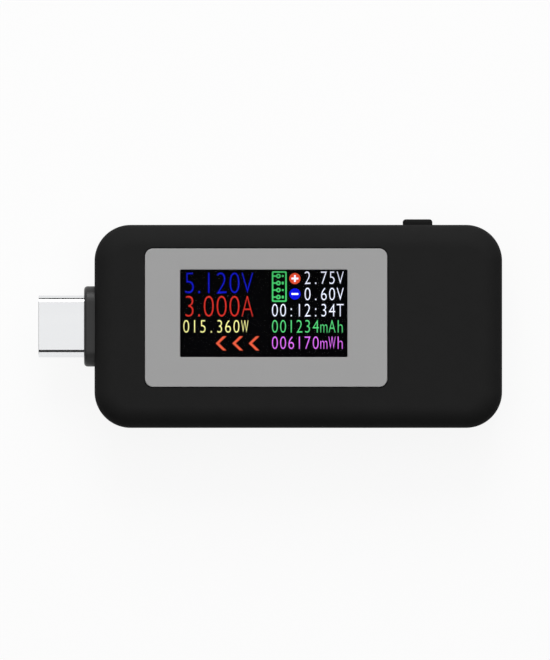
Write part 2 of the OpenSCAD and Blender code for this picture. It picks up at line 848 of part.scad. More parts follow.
module switch_terminals() color(tin) at_switch()
    for (side = [0, 1], y = [-1.8, -0.8])
        mirror([side, 0, 0])
            block([switch_length / 2, y, -switch_height / 2],
                  [switch_length / 2 + 0.6, y + 0.6, -switch_height / 2 + 0.15]);

module button_cap() color(case_black) at_switch() {
    root = flange_face - switch_front;
    face = half_width + button_reach - switch_front;
    corner = 0.4;
    translate([0, 0, -button_height / 2]) linear_extrude(button_height) {
        translate([-button_width / 2, root]) square([button_width, face - root - corner]);
        translate([-button_width / 2 + corner, root])
            square([button_width - 2 * corner, face - root]);
        for (side = [-1, 1])
            translate([side * (button_width / 2 - corner), face - corner]) circle(corner);
    }
    block([-flange_half, root - button_flange, -0.7],
          [flange_half, root, flange_top - switch_axis]);
}

front_cover();
rear_cover();
display_panel();
panel_adhesive();
window_lens();
display_polarizer();
display_upper_glass();
display_lower_glass();
display_driver_chip();
display_rear_film();
backlight_frame();
backlight_guide();
backlight_reflector();
backlight_leds();
display_flex();
display_foam();
main_board();
microcontroller();
memory_chip();
amplifier_chip();
voltage_regulator();
chip_leads();
shunt_resistor();
surge_diode();
chip_capacitors();
chip_resistors();
chip_end_caps();
plug_collar();
plug_shell();
plug_insulator();
plug_contacts();
plug_latches();
plug_ground_springs();
socket_shell();
socket_insulator();
socket_mid_plate();
socket_contacts();
switch_base();
switch_cover();
switch_plunger();
switch_dome();
switch_terminals();
button_cap();
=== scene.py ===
"""USB power meter: moulded case, lit display, plug, socket, button and the board inside."""

import json
import logging
import math
from dataclasses import dataclass, field
from enum import Enum
from typing import Callable, Iterable

import bpy
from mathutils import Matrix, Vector

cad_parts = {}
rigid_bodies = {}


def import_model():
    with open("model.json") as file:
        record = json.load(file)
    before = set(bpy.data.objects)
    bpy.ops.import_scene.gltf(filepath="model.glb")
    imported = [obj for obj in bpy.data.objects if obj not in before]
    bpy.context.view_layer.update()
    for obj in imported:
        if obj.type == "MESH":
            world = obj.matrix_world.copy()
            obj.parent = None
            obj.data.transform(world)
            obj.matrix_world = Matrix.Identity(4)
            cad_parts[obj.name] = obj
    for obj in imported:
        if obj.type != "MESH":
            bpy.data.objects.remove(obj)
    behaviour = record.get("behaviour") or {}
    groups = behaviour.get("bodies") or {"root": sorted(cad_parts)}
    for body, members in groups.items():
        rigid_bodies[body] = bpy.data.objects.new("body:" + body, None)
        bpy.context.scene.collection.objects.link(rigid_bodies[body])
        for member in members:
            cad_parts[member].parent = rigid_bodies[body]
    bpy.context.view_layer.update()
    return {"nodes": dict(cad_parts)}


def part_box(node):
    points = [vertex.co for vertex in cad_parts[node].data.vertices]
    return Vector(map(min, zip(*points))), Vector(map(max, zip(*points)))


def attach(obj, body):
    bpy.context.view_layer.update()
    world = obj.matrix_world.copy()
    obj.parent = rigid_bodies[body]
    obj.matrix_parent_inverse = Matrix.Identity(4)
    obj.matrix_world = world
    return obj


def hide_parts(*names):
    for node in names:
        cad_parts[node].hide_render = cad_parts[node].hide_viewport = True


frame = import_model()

MM = 0.001
LOG = logging.getLogger("power_meter")
# Heights that several parts are built from: the parting line, and the board's two faces
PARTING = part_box("front_cover")[0][2]
BOARD_BOTTOM, BOARD_TOP = (corner[2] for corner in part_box("main_board"))
# A round end is rounded a hair less than half its height, so that its two arcs stay apart
NEARLY = 0.999
# An edge runs along an axis when the cosine of the angle between them is over this
PARALLEL = 0.999
# Points nearer than this, in metres, are one point
SAME_POINT = 1e-7
# A point nearer to a plane than this, in metres, lies in it
IN_PLANE = 1e-6
# Faces that turn by less than this are one flat face
FLAT_WITHIN = math.radians(0.5)
# Edges that turn by more than this are broken, with this many flats
BROKEN_ABOVE = math.radians(35)
BROKEN_FLATS = 2
# Edges that turn by less than this are shaded smooth
SMOOTH_BELOW = math.radians(32)
WHITE = (1.0, 1.0, 1.0, 1.0)
# A mix node's colour sockets, by number because their names aren't unique
MIX_A, MIX_B, MIX_OUT = 6, 7, 2
Corner = tuple[float, float, float]
Piece = bpy.types.Object
Tree = bpy.types.NodeTree
Node = bpy.types.Node
Socket = bpy.types.NodeSocket
EdgeTest = Callable[[Vector, Vector], bool]


# ------------------------------------------------------------------ shaping


class Along(Enum):
    """An axis of the frame, which edges run along or lie square to."""

    X = 0
    Y = 1
    Z = 2


def only(piece: Piece) -> None:
    """Selects one object, and makes it the active one.

    Args:
        piece: The object to select.
    """
    for other in bpy.context.view_layer.objects:
        other.select_set(False)
    piece.select_set(True)
    bpy.context.view_layer.objects.active = piece


def settle(piece: Piece) -> None:
    """Puts an object's place into its mesh, so that the object itself is at the origin."""
    only(piece)
    bpy.ops.object.transform_apply(location=True, rotation=True, scale=True)


def block(name: str, low: Iterable[float], high: Iterable[float]) -> Piece:
    """Adds a box between two corners, as the start of a piece or of a cutter.

    Args:
        name: The object's name.
        low: The lowest corner, in metres.
        high: The highest corner, in metres.

    Returns:
        The new object, at the origin.
    """
    low, high = Vector(low), Vector(high)
    bpy.ops.mesh.primitive_cube_add(size=1, location=(low + high) / 2, scale=high - low)
    piece = bpy.context.object
    piece.name = piece.data.name = name
    settle(piece)
    return piece


def corners(node: str) -> tuple[Vector, Vector]:
    """Gives the lowest and the highest corner of a CAD node, in metres."""
    low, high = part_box(node)
    return Vector(low), Vector(high)


def edit_all(piece: Piece) -> None:
    """Opens a piece in edit mode with all of it selected.

    Args:
        piece: The piece.
    """
    only(piece)
    bpy.ops.object.mode_set(mode="EDIT")
    bpy.ops.mesh.select_all(action="SELECT")


def close_outwards() -> None:
    """Turns the selected faces outwards, and closes edit mode."""
    bpy.ops.mesh.normals_make_consistent(inside=False)
    bpy.ops.object.mode_set(mode="OBJECT")


def pick_none(piece: Piece, kind: str) -> None:
    """Deselects a piece's whole mesh, ready for a test to pick from it in object mode.

    Args:
        piece: The piece.
        kind: What is picked: VERT for points, EDGE for edges.
    """
    only(piece)
    bpy.ops.object.mode_set(mode="EDIT")
    bpy.ops.mesh.select_mode(type=kind)
    bpy.ops.mesh.select_all(action="DESELECT")
    bpy.ops.object.mode_set(mode="OBJECT")


def edit_points(piece: Piece, chosen: Callable[[Vector], bool]) -> None:
    """Opens a piece in edit mode with only the points that a test picks selected.

    Args:
        piece: The piece.
        chosen: Takes a point and says whether it is selected.
    """
    pick_none(piece, "VERT")
    for point in piece.data.vertices:
        point.select = chosen(point.co)
    bpy.ops.object.mode_set(mode="EDIT")


def round_edges(piece: Piece, chosen: EdgeTest, radius: float, segments: int) -> None:
    """Bevels the edges that a test picks, in edit mode.

    Args:
        piece: The piece.
        chosen: Takes an edge's two ends and says whether it is bevelled.
        radius: The bevel's width, in metres.
        segments: How many flats the bevel has.
    """
    pick_none(piece, "EDGE")
    points = piece.data.vertices
    for edge in piece.data.edges:
        edge.select = chosen(points[edge.vertices[0]].co, points[edge.vertices[1]].co)
    bpy.ops.object.mode_set(mode="EDIT")
    bpy.ops.mesh.bevel(offset=radius, segments=segments, affect="EDGES", clamp_overlap=False)
    bpy.ops.mesh.remove_doubles(threshold=SAME_POINT)
    close_outwards()


def runs(axis: Along) -> EdgeTest:
    """Gives a test for edges that run along one axis."""
    return lambda a, b: abs((b - a).normalized()[axis.value]) > PARALLEL


def lies_at(axis: Along, height: float) -> EdgeTest:
    """Gives a test for edges in the plane that cuts an axis squarely at a height, in metres."""
    return lambda a, b: all(abs(end[axis.value] - height) < IN_PLANE for end in (a, b))


def rounded_block(
    name: str, low: Corner, high: Corner, radius: float, axis: Along = Along.Z, segments: int = 10
) -> Piece:
    """Adds a box whose four edges along one axis are rounded.

    Args:
        name: The object's name.
        low: The lowest corner, in metres.
        high: The highest corner, in metres.
        radius: The corner radius, in metres.
        axis: The axis that the rounded edges run along.
        segments: How many flats each corner has.

    Returns:
        The new object.
    """
    piece = block(name, low, high)
    round_edges(piece, runs(axis), radius, segments)
    return piece


class Join(Enum):
    """How one solid is combined with another."""

    CUT = "DIFFERENCE"
    ADD = "UNION"


def modify(piece: Piece, kind: str, **settings: object) -> None:
    """Adds a modifier to a piece, sets it and applies it.

    Args:
        piece: The piece.
        kind: The modifier's type.
        **settings: The modifier's own properties.
    """
    only(piece)
    bpy.ops.object.modifier_add(type=kind)
    step = piece.modifiers[-1]
    for key, value in settings.items():
        setattr(step, key, value)
    bpy.ops.object.modifier_apply(modifier=step.name)


def combine(piece: Piece, other: Piece, how: Join = Join.CUT) -> None:
    """Cuts one solid from another, or adds it, and uses the second one up.

    Args:
        piece: The solid that stays.
        other: The solid that is used up.
        how: Whether it is cut away or added.
    """
    modify(piece, "BOOLEAN", operation=how.value, solver="EXACT", object=other)
    bpy.data.objects.remove(other)


def gather(name: str, made: list[Piece]) -> Piece:
    """Joins solids that don't touch into one object.

    Args:
        name: The object's name.
        made: The solids, which are used up.

    Returns:
        The object that holds them all.
    """
    only(made[0])
    for other in made:
        other.select_set(True)
    if len(made) > 1:
        bpy.ops.object.join()
    piece = bpy.context.object
    piece.name = piece.data.name = name
    return piece


def copy_to(piece: Piece, move: Vector) -> Piece:
    """Copies a solid, mesh and all, and moves the copy.

    Args:
        piece: The solid to copy.
        move: How far the copy is moved, in metres.

    Returns:
        The copy, at the origin.
    """
    only(piece)
    bpy.ops.object.duplicate(linked=False)
    made = bpy.context.object
    made.location = move
    settle(made)
    return made


def spread(name: str, first: Piece, moves: Iterable[Vector]) -> Piece:
    """Copies a solid by each of some moves, and uses the first one up.

    Args:
        name: The name of the object that holds the copies.
        first: The solid to copy.
        moves: How far each copy is moved, in metres.

    Returns:
        The copies, as one object.
    """
    made = [copy_to(first, move) for move in moves]
    bpy.data.objects.remove(first)
    return gather(name, made)


def clean(piece: Piece) -> None:
    """Merges doubled points and faces that lie in one plane, and turns every face outwards.

    Args:
        piece: The piece.
    """
    edit_all(piece)
    bpy.ops.mesh.remove_doubles(threshold=SAME_POINT)
    bpy.ops.mesh.dissolve_limited(angle_limit=FLAT_WITHIN)
    close_outwards()


def soften(piece: Piece, width: float) -> None:
    """Breaks a piece's sharp edges, and smooths its shading so that its flats still look flat.

    Args:
        piece: The piece.
        width: The width of the broken edge, in metres.
    """
    clean(piece)
    modify(piece, "BEVEL", width=width, segments=BROKEN_FLATS, limit_method="ANGLE",
           angle_limit=BROKEN_ABOVE, harden_normals=False)
    edit_all(piece)
    bpy.ops.mesh.dissolve_degenerate(threshold=SAME_POINT)
    close_outwards()
    bpy.ops.object.shade_smooth_by_angle(angle=SMOOTH_BELOW)
    modify(piece, "WEIGHTED_NORMAL", keep_sharp=True)


# ------------------------------------------------------------------ finishes


def linear(colour: str) -> tuple[float, float, float, float]:
    """Turns an sRGB hex colour into linear values.

    Args:
        colour: Six hex digits after a hash sign.

    Returns:
        Red, green, blue and alpha.
    """
    parts = [int(colour[i : i + 2], 16) / 255 for i in (1, 3, 5)]
    return (*[c / 12.92 if c <= 0.04045 else ((c + 0.055) / 1.055) ** 2.4 for c in parts], 1.0)


def add_node(
    tree: Tree,
    kind: str,
    values: dict[str | int, object] | None = None,
    links: dict[str | int, Socket] | None = None,
    **settings: object,
) -> Node:
    """Adds one shader node, with its settings, socket values and incoming links.

    Args:
        tree: The node tree to add it to.
        kind: The node's type name.
        values: Values for its input sockets.
        links: Output sockets to join to its input sockets.
        **settings: The node's own properties.

    Returns:
        The new node.
    """
    made = tree.nodes.new(kind)
    for key, value in settings.items():
        setattr(made, key, value)
    for key, value in (values or {}).items():
        made.inputs[key].default_value = value
    for key, source in (links or {}).items():
        tree.links.new(source, made.inputs[key])
    return made


@dataclass(frozen=True)
class Finish:
    """A surface: what it is made of, and how it was made.

    The colour drifts a little between two tones over patches, and a fine grain lifts the surface.
    """

    name: str
    colour: str
    second: str
    roughness: float
    metallic: float = 0.0
    specular: float = 0.5
    patch_mm: float = 3.0
    grain_mm: float = 0.3
    grain_depth_mm: float = 0.004
    stretch: Corner = (1.0, 1.0, 1.0)
    coat: float = 0.0
    gloss_swing: float = 0.05
    patch_detail: float = 3.0
    grain_detail: float = 2.0

    def material(self) -> bpy.types.Material:
        """Makes the material once, and gives the same one after that.

        Returns:
            The material.
        """
        found = bpy.data.materials.get(self.name)
        if found:
            return found
        made = bpy.data.materials.new(self.name)
        made.use_nodes = True
        tree = made.node_tree
        tree.nodes.clear()
        self.wire(tree)
        made.diffuse_color = linear(self.colour)
        return made

    def wire(self, tree: Tree) -> None:
        """Builds the node tree.

        Args:
            tree: The empty tree to fill.
        """
        spot = add_node(tree, "ShaderNodeTexCoord").outputs["Object"]
        drawn = add_node(tree, "ShaderNodeMapping", {"Scale": self.stretch}, {"Vector": spot})
        patches, grain = (
            add_node(tree, "ShaderNodeTexNoise", {"Scale": 1 / (size * MM), "Detail": detail},
                     {"Vector": drawn.outputs[0]}).outputs["Fac"]
            for size, detail in (
                (self.patch_mm, self.patch_detail), (self.grain_mm, self.grain_detail),
            )
        )
        tone = add_node(
            tree, "ShaderNodeMix", {MIX_A: linear(self.colour), MIX_B: linear(self.second)},
            {0: patches}, data_type="RGBA",
        ).outputs[MIX_OUT]
        gloss = add_node(
            tree, "ShaderNodeMapRange",
            {"To Min": self.roughness - self.gloss_swing,
             "To Max": self.roughness + self.gloss_swing},
            {"Value": grain},
        )
        lift = add_node(
            tree, "ShaderNodeBump", {"Strength": 1.0, "Distance": self.grain_depth_mm * MM},
            {"Height": grain},
        )
        shader = add_node(
            tree, "ShaderNodeBsdfPrincipled",
            {"Metallic": self.metallic, "Specular IOR Level": self.specular,
             "Coat Weight": self.coat},
            {"Base Color": tone, "Roughness": gloss.outputs[0], "Normal": lift.outputs[0]},
        )
        add_node(tree, "ShaderNodeOutputMaterial", None, {"Surface": shader.outputs[0]})
        self.complete(tree, shader, tone)

    def complete(self, tree: Tree, shader: Node, tone: Socket) -> None:
        """Adds what only some kinds of surface have. A plain one has nothing more."""


@dataclass(frozen=True)
class ClearFinish(Finish):
    """Polished clear plastic with an anti-reflection layer, so what is behind it stays dark."""

    alpha: float = 0.12

    def complete(self, tree: Tree, shader: Node, tone: Socket) -> None:
        """Lets light through."""
        shader.inputs["Alpha"].default_value = self.alpha


@dataclass(frozen=True)
class LitFinish(Finish):
    """Lit figures on the display: they glow unevenly between two tones, with no shine."""

    roughness: float = 0.6
    specular: float = 0.0
    patch_mm: float = 0.8
    strength: float = 1.0

    def complete(self, tree: Tree, shader: Node, tone: Socket) -> None:
        """Makes the tone glow."""
        tree.links.new(tone, shader.inputs["Emission Color"])
        shader.inputs["Emission Strength"].default_value = self.strength


@dataclass(frozen=True)
class CardFinish(Finish):
    """Backlit white card: its own glow keeps the object's shadow on it faint."""

    glow: float = 0.9

    def complete(self, tree: Tree, shader: Node, tone: Socket) -> None:
        """Lights the card from behind."""
        shader.inputs["Emission Color"].default_value = WHITE
        shader.inputs["Emission Strength"].default_value = self.glow


@dataclass(frozen=True)
class BoardFinish(Finish):
    """Solder-masked fibreglass board: copper tracks show through as paler lines."""

    track: str = "#2f8a4e"
    cell_mm: float = 2.4
    track_share: float = 0.06

    def complete(self, tree: Tree, shader: Node, tone: Socket) -> None:
        """Mixes the tracks into the colour.

        Args:
            tree: The tree to add to.
            shader: The surface's shader.
            tone: The colour between the tracks.
        """
        spot = add_node(tree, "ShaderNodeTexCoord").outputs["Object"]
        cells = add_node(
            tree, "ShaderNodeTexVoronoi", {"Scale": 1 / (self.cell_mm * MM)}, {"Vector": spot},
            feature="DISTANCE_TO_EDGE", voronoi_dimensions="2D",
        )
        line = add_node(tree, "ShaderNodeMath", {1: self.track_share}, {0: cells.outputs[0]},
                        operation="LESS_THAN")
        mix = add_node(tree, "ShaderNodeMix", {MIX_B: linear(self.track)},
                       {0: line.outputs[0], MIX_A: tone}, data_type="RGBA")
        tree.links.new(mix.outputs[MIX_OUT], shader.inputs["Base Color"])


# Spark-textured black ABS: dull, with a fine even grain
CASE_ABS = Finish("black_abs_spark_textured", "#252525", "#282828", 0.75, specular=0.04,
                  grain_mm=0.28, grain_depth_mm=0.006)
# The same plastic on the small cap, worn a little smoother by fingers, and painted darker than the
# case to stand in for the shade on the cap
CAP_ABS = Finish("black_abs_cap", "#1c1c1c", "#202020", 0.65, specular=0.04, grain_depth_mm=0.003)
# Overmoulded collar: a paler, smoother black that takes a soft sheen
COLLAR_TPE = Finish("charcoal_elastomer_moulded", "#343434", "#383838", 0.42, specular=0.3,
                    grain_depth_mm=0.002)
# Satin grey polycarbonate: even tone with a hair-fine mist
PANEL_PC = Finish("grey_polycarbonate_satin", "#b4b4b4", "#b7b7b7", 0.45, specular=0.2,
                  patch_mm=6, grain_mm=0.2, grain_depth_mm=0.002)
# Nickel-plated drawn steel: bright, with faint draw lines along its length
NICKEL = Finish("nickel_plated_steel_drawn", "#ecedee", "#e4e5e7", 0.12, metallic=1.0,
                grain_mm=0.25, grain_depth_mm=0.001, stretch=(0.08, 1.0, 1.0))
# Gold flash over nickel on stamped contacts: warm and bright
GOLD = Finish("gold_flash_stamped", "#e0b45c", "#d2a24a", 0.24, metallic=1.0, grain_depth_mm=0.001)
# Tin-plated copper leads: pale, slightly matt grey metal
TIN = Finish("tin_plated_copper", "#c4c7ca", "#b4b7bb", 0.38, metallic=1.0, grain_mm=0.15)
# Copper-manganese alloy strip: brownish grey, rolled
SHUNT = Finish("manganese_copper_rolled", "#8f857c", "#7d746c", 0.4, metallic=1.0,
               stretch=(0.1, 1.0, 1.0))
# Moulded epoxy package: near black with a coarse filler grain
EPOXY = Finish("chip_epoxy_moulded", "#1c1c1e", "#242426", 0.6, grain_mm=0.12, grain_depth_mm=0.005)
# Fired ceramic capacitor body: tan, slightly mottled
CERAMIC = Finish("capacitor_ceramic_fired", "#a5835b", "#93714c", 0.55, patch_mm=0.5)
# Glass-filled nylon of the connectors: black, a little glossy
NYLON = Finish("glass_filled_nylon_black", "#151517", "#1c1c1e", 0.4, grain_mm=0.2)
# Ivory nylon plunger
IVORY = Finish("nylon_ivory", "#e6dfcd", "#ddd5c0", 0.45)
# White polycarbonate backlight frame and reflector film
WHITE_PC = Finish("white_polycarbonate", "#f1f1ee", "#e8e8e4", 0.5)
# Phosphor-filled silicone on the backlight's diodes: pale yellow
PHOSPHOR = Finish("phosphor_silicone", "#efe08a", "#e6d470", 0.5)
# Polyimide film with copper inside: amber, glossy
POLYIMIDE = Finish("polyimide_film", "#b9741f", "#a8671a", 0.3, patch_mm=1.2, coat=0.3)
# Open-cell foam: dark, pitted
FOAM = Finish("foam_open_cell", "#353535", "#444444", 0.9, grain_mm=0.35, grain_depth_mm=0.08)
# Double-sided tape: off-white, dull
TAPE = Finish("acrylic_foam_tape", "#dedace", "#d2cdbf", 0.7)
# Polarizer film over switched-off liquid crystal: almost black, with very little shine
POLARIZER = Finish("polarizer_film_black", "#010102", "#020204", 0.2, specular=0.015,
                   grain_depth_mm=0.0005)
# Display glass, seen edge on behind the film
DARK_GLASS = Finish("display_glass_dark", "#0c0e11", "#101317", 0.1, specular=0.1,
                    grain_depth_mm=0.0002)
# Green solder mask over copper tracks
BOARD = BoardFinish("solder_mask_green", "#12502b", "#165a31", 0.35, coat=0.2)
# Hard-coated clear acrylic window
LENS = ClearFinish("clear_acrylic_hard_coated", "#020203", "#040405", 0.06, specular=0.1,
                   grain_depth_mm=0.0, alpha=0.06)
# Backlit card under the object
FLOOR_CARD = CardFinish("white_card_backlit", "#5a5a5a", "#5e5e5e", 0.9, specular=0.0,
                        patch_mm=40, grain_depth_mm=0.0)
# Clear light guide of the backlight
GUIDE = ClearFinish("clear_light_guide", "#f4f8fa", "#eef4f7", 0.15, specular=0.3, alpha=0.5)

INNER_FINISHES: dict[Finish, tuple[str, ...]] = {
    TAPE: ("panel_adhesive",),
    LENS: ("window_lens",),
    POLARIZER: ("display_polarizer", "display_rear_film"),
    DARK_GLASS: ("display_upper_glass", "display_lower_glass"),
    WHITE_PC: ("backlight_frame", "backlight_reflector"),
    GUIDE: ("backlight_guide",),
    PHOSPHOR: ("backlight_leds",),
    POLYIMIDE: ("display_flex",),
    FOAM: ("display_foam",),
    BOARD: ("main_board",),
    EPOXY: ("display_driver_chip", "microcontroller", "memory_chip", "amplifier_chip",
            "voltage_regulator", "surge_diode", "chip_resistors"),
    TIN: ("chip_leads", "chip_end_caps", "switch_terminals"),
    SHUNT: ("shunt_resistor",),
    CERAMIC: ("chip_capacitors",),
    NYLON: ("plug_insulator", "socket_insulator", "switch_base"),
    GOLD: ("plug_contacts", "socket_contacts", "switch_dome"),
    NICKEL: ("plug_latches", "plug_ground_springs", "socket_mid_plate", "switch_cover"),
    IVORY: ("switch_plunger",),
}


def dress(piece: Piece, finish: Finish) -> None:
    """Gives a piece one finish all over.

    Args:
        piece: A new piece or a CAD node.
        finish: Its finish.
    """
    slots = piece.data.materials
    if not slots:
        slots.append(finish.material())
    for i in range(len(slots)):
        slots[i] = finish.material()


def place(piece: Piece, finish: Finish, body: str, slot: str, *nodes: str) -> None:
    """Finishes a new piece: its material, its body and the nodes it stands for.

    Args:
        piece: The new piece.
        finish: Its finish.
        body: The CAD body that it rides on.
        slot: The record's material slot. Not used.
        *nodes: The CAD nodes that it replaces.
    """
    dress(piece, finish)
    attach(piece, body)
    if nodes:
        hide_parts(*nodes)
    LOG.info("%s: %d faces on %s", piece.name, len(piece.data.polygons), body)


# ------------------------------------------------------------------ sub-assemblies


@dataclass
class PanelOpening:
    """The grey panel's outline and its window, which the front cover is cut for."""

    corner: float = 1.1 * MM
    gap: float = 0.12 * MM
    window_corner: float = 0.15 * MM
    window_flats: int = 3
    edge: float = 0.13 * MM
    window_border: float = 1.0 * MM
    lens_corner: float = 0.3 * MM
    lens_flats: int = 4

    def window(self) -> tuple[Vector, Vector]:
        """Finds the window, which is the lens less its border.

        Returns:
            Its lowest and highest corners.
        """
        low, high = corners("window_lens")
        inset = Vector((self.window_border, self.window_border, 0))
        return low + inset, high - inset

    def build(self) -> None:
        """Models the panel, with a chamfer round its rim and round the window."""
        low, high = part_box("display_panel")
        panel = rounded_block("display_panel_satin", low, high, self.corner)
        inner_low, inner_high = self.window()
        inner_low.z, inner_high.z = low[2] - MM, high[2] + MM
        combine(panel, rounded_block("cut", inner_low, inner_high, self.window_corner,
                                     segments=self.window_flats))
        soften(panel, self.edge)
        place(panel, PANEL_PC, "housing", "panel_plastic", "display_panel")


class Half(Enum):
    """Which half of the case a cover is."""

    REAR = -1
    FRONT = 1


@dataclass
class Case:
    """The two covers of the case, with what holds them, the board and the display inside."""

    corner: float = 4.8 * MM
    edge: float = 3.0 * MM
    wall: float = 1.6 * MM
    broken_edge: float = 0.09 * MM
    seam: float = 0.035 * MM
    clearance: float = 0.1 * MM
    corner_flats: int = 20
    edge_flats: int = 14
    opening_flats: int = 12
    lip_height: float = 1.0 * MM
    lip_thickness: float = 0.7 * MM
    snap: Corner = (3.0 * MM, 0.4 * MM, 0.4 * MM)
    snap_room: Corner = (0.4 * MM, 0.3 * MM, 0.2 * MM)
    snap_places: tuple[float, float] = (-0.5, 0.15)
    post_radius: float = 1.2 * MM
    post_sides: int = 32
    post_inset: tuple[float, float] = (6.6 * MM, 3.3 * MM)
    pin_radius: float = 0.55 * MM
    pin_height: float = 0.9 * MM
    fence_wall: float = 0.7 * MM
    fence_lift: float = 0.3 * MM
    cable_room: float = 0.6 * MM
    cable_reach: float = 2.0 * MM
    root: float = 0.1 * MM
    opening: PanelOpening = field(default_factory=PanelOpening)

    def __post_init__(self) -> None:
        """Reads the case's size from the frame."""
        front_low, front_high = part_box("front_cover")
        rear_low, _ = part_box("rear_cover")
        self.low = Vector((front_low[0], front_low[1], rear_low[2]))
        self.high = Vector(front_high)
        self.ceiling = self.high.z - self.wall

    def form(self, name: str, inset: float) -> Piece:
        """Models the case's rounded form, or the hollow in it.

        Args:
            name: The object's name.
            inset: How far every face is taken in.

        Returns:
            The new solid.
        """
        margin = Vector((inset, inset, inset))
        low, high = self.low + margin, self.high - margin
        piece = rounded_block(name, low, high, self.corner - inset, segments=self.corner_flats)
        ends = (lies_at(Along.Z, low.z), lies_at(Along.Z, high.z))
        round_edges(piece, lambda a, b: any(end(a, b) for end in ends), self.edge - inset,
                    self.edge_flats)
        return piece

    def half(self, name: str, kept: Half) -> Piece:
        """Models one half of the case's form, still solid.

        Args:
            name: The object's name.
            kept: The half that is kept.

        Returns:
            The new half.
        """
        piece = self.form(name, 0.0)
        beyond = Vector((MM, MM, MM))
        low, high = self.low - beyond, self.high + beyond
        if kept is Half.FRONT:
            high.z = PARTING + self.seam
        else:
            low.z = PARTING - self.seam
        combine(piece, block("cut", low, high))
        return piece

    def slab(self, inset: float, low: float, high: float) -> Piece:
        """Models an upright slab of the case's plan outline.

        Args:
            inset: How far its sides are taken in.
            low: The height of its foot.
            high: The height of its top.

        Returns:
            The new solid.
        """
        return rounded_block(
            "slab", (self.low.x + inset, self.low.y + inset, low),
            (self.high.x - inset, self.high.y - inset, high), self.corner - inset,
            segments=self.corner_flats,
        )

    def snaps(self, room: Corner) -> Piece:
        """Models the four snaps on the lip, or the pockets that they catch in.

        Args:
            room: How much larger than the snaps they are.

        Returns:
            The four solids, as one object.
        """
        size = Vector(self.snap) + Vector(room)
        first = block("snap", -size / 2, size / 2)
        reach = self.high.y - self.wall + self.lip_thickness
        height = PARTING + self.lip_height / 2
        return spread("snaps", first, (
            Vector((share * (self.high.x - self.wall), side * reach, height))
            for share in self.snap_places
            for side in (-1, 1)
        ))

    def at_posts(self, radius: float, foot: float, top: float) -> Piece:
        """Models an upright rod at each of the four places where the board is held.

        Args:
            radius: The rods' radius.
            foot: The height of their feet.
            top: The height of their tops.

        Returns:
            The four rods, as one object.
        """
        height = top - foot
        bpy.ops.mesh.primitive_cylinder_add(
            vertices=self.post_sides, radius=radius, depth=height,
            location=(0.0, 0.0, foot + height / 2),
        )
        first = bpy.context.object
        settle(first)
        inset_x, inset_y = self.post_inset
        return spread("posts", first, (
            Vector((x * (self.high.x - inset_x), y * (self.high.y - inset_y), 0))
            for x in (-1, 1)
            for y in (-1, 1)
        ))

    def cut_ends(self, cover: Piece) -> None:
        """Cuts the openings for the collar and the socket, the second with fully round ends.

        Args:
            cover: The cover to cut.
        """
        low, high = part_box("plug_collar")
        for end, width, height, corner in (
            (self.low.x, COLLAR.width, high[2] - low[2], COLLAR.corner),
            (self.high.x, SOCKET.width, SOCKET.height, None),
        ):
            middle = Vector((end, 0.0, PARTING))
            half = Vector((self.wall + MM, width / 2 + self.clearance,
                           height / 2 + self.clearance))
            combine(cover, rounded_block("cut", middle - half, middle + half,
                                         corner or half.z * NEARLY, Along.X,
                                         segments=self.opening_flats))

    def fence(self) -> Piece:
        """Models the rib round the display, open where its cable folds under.

        Returns:
            The rib.
        """
        low, high = corners("backlight_frame")
        bottom = low.z + self.fence_lift
        gap = Vector((self.clearance, self.clearance, 0))
        rib = Vector((self.fence_wall, self.fence_wall, 0))
        inner_low, inner_high = low - gap, high + gap
        outer_low, outer_high = inner_low - rib, inner_high + rib
        outer_low.z, outer_high.z = bottom, self.ceiling + self.root
        inner_low.z, inner_high.z = bottom - MM, self.ceiling + MM
        made = block("fence", outer_low, outer_high)
        combine(made, block("cut", inner_low, inner_high))
        flex_low, flex_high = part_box("display_flex")
        combine(made, block(
            "cut", ((low.x + high.x) / 2, flex_low[1] - self.cable_room, bottom - MM),
            (high.x + self.cable_reach, flex_high[1] + self.cable_room, self.ceiling + MM),
        ))
        return made

    def build_front(self) -> None:
        """Models the front cover: rebate, fence and posts inside, recess and window outside."""
        cover = self.half("front_cover_moulded", Half.FRONT)
        combine(cover, self.form("cut", self.wall))
        rebate = self.wall - self.lip_thickness - self.clearance
        combine(cover, self.slab(rebate, PARTING - MM,
                                 PARTING + self.lip_height + self.clearance))
        combine(cover, self.snaps(self.snap_room))
        combine(cover, self.fence(), Join.ADD)
        combine(cover, self.at_posts(self.post_radius, BOARD_TOP, self.ceiling + self.root),
                Join.ADD)
        low, high = corners("display_panel")
        side = Vector((self.opening.gap, self.opening.gap, 0))
        recess_low, recess_high = low - side, high + side
        recess_low.z, recess_high.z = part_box("panel_adhesive")[0][2], high.z + MM
        combine(cover, rounded_block("cut", recess_low, recess_high,
                                     self.opening.corner + self.opening.gap))
        low, high = corners("window_lens")
        side = Vector((self.clearance, self.clearance, MM))
        combine(cover, rounded_block("cut", low - side, high + side,
                                     self.opening.lens_corner + self.clearance,
                                     segments=self.opening.lens_flats))
        hole_top = BOARD_TOP + self.pin_height + self.clearance
        combine(cover, self.at_posts(self.pin_radius + self.clearance / 2, BOARD_TOP - MM,
                                     hole_top))
        self.cut_ends(cover)
        combine(cover, BUTTON.notch(self.clearance))
        soften(cover, self.broken_edge)
        place(cover, CASE_ABS, "housing", "case_plastic", "front_cover")

